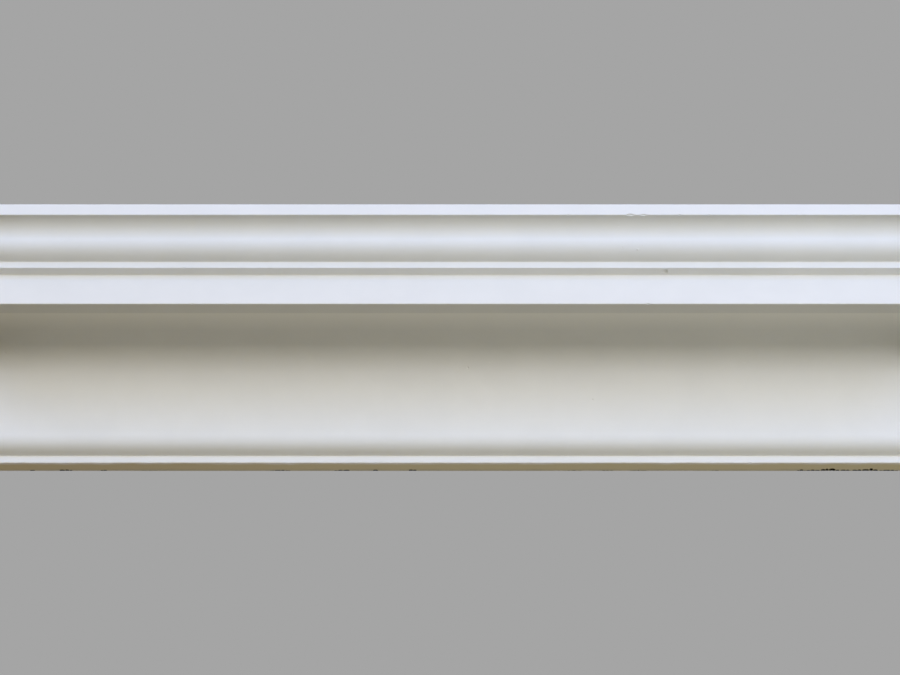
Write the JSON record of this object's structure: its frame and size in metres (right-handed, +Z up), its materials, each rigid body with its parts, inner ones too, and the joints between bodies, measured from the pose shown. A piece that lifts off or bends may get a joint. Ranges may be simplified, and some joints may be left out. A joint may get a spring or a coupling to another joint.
{
  "type": "crown moulding length",
  "caption": "Plain cast plaster cornice with a cyma, a square fascia and a deep cove, for the corner of a wall and a ceiling.",
  "frame": {"origin": "middle of the flat seat that meets the wall, at half the length", "axes": "+X along the length, +Y into the wall, so the show side looks towards -Y, +Z up to the ceiling"},
  "size_m": [0.72, 0.14, 0.155],
  "materials": {
    "plaster": "matt white cast gypsum plaster, unpainted"
  },
  "bodies": {
    "root": {"cornice": "plaster"}
  },
  "joints": []
}
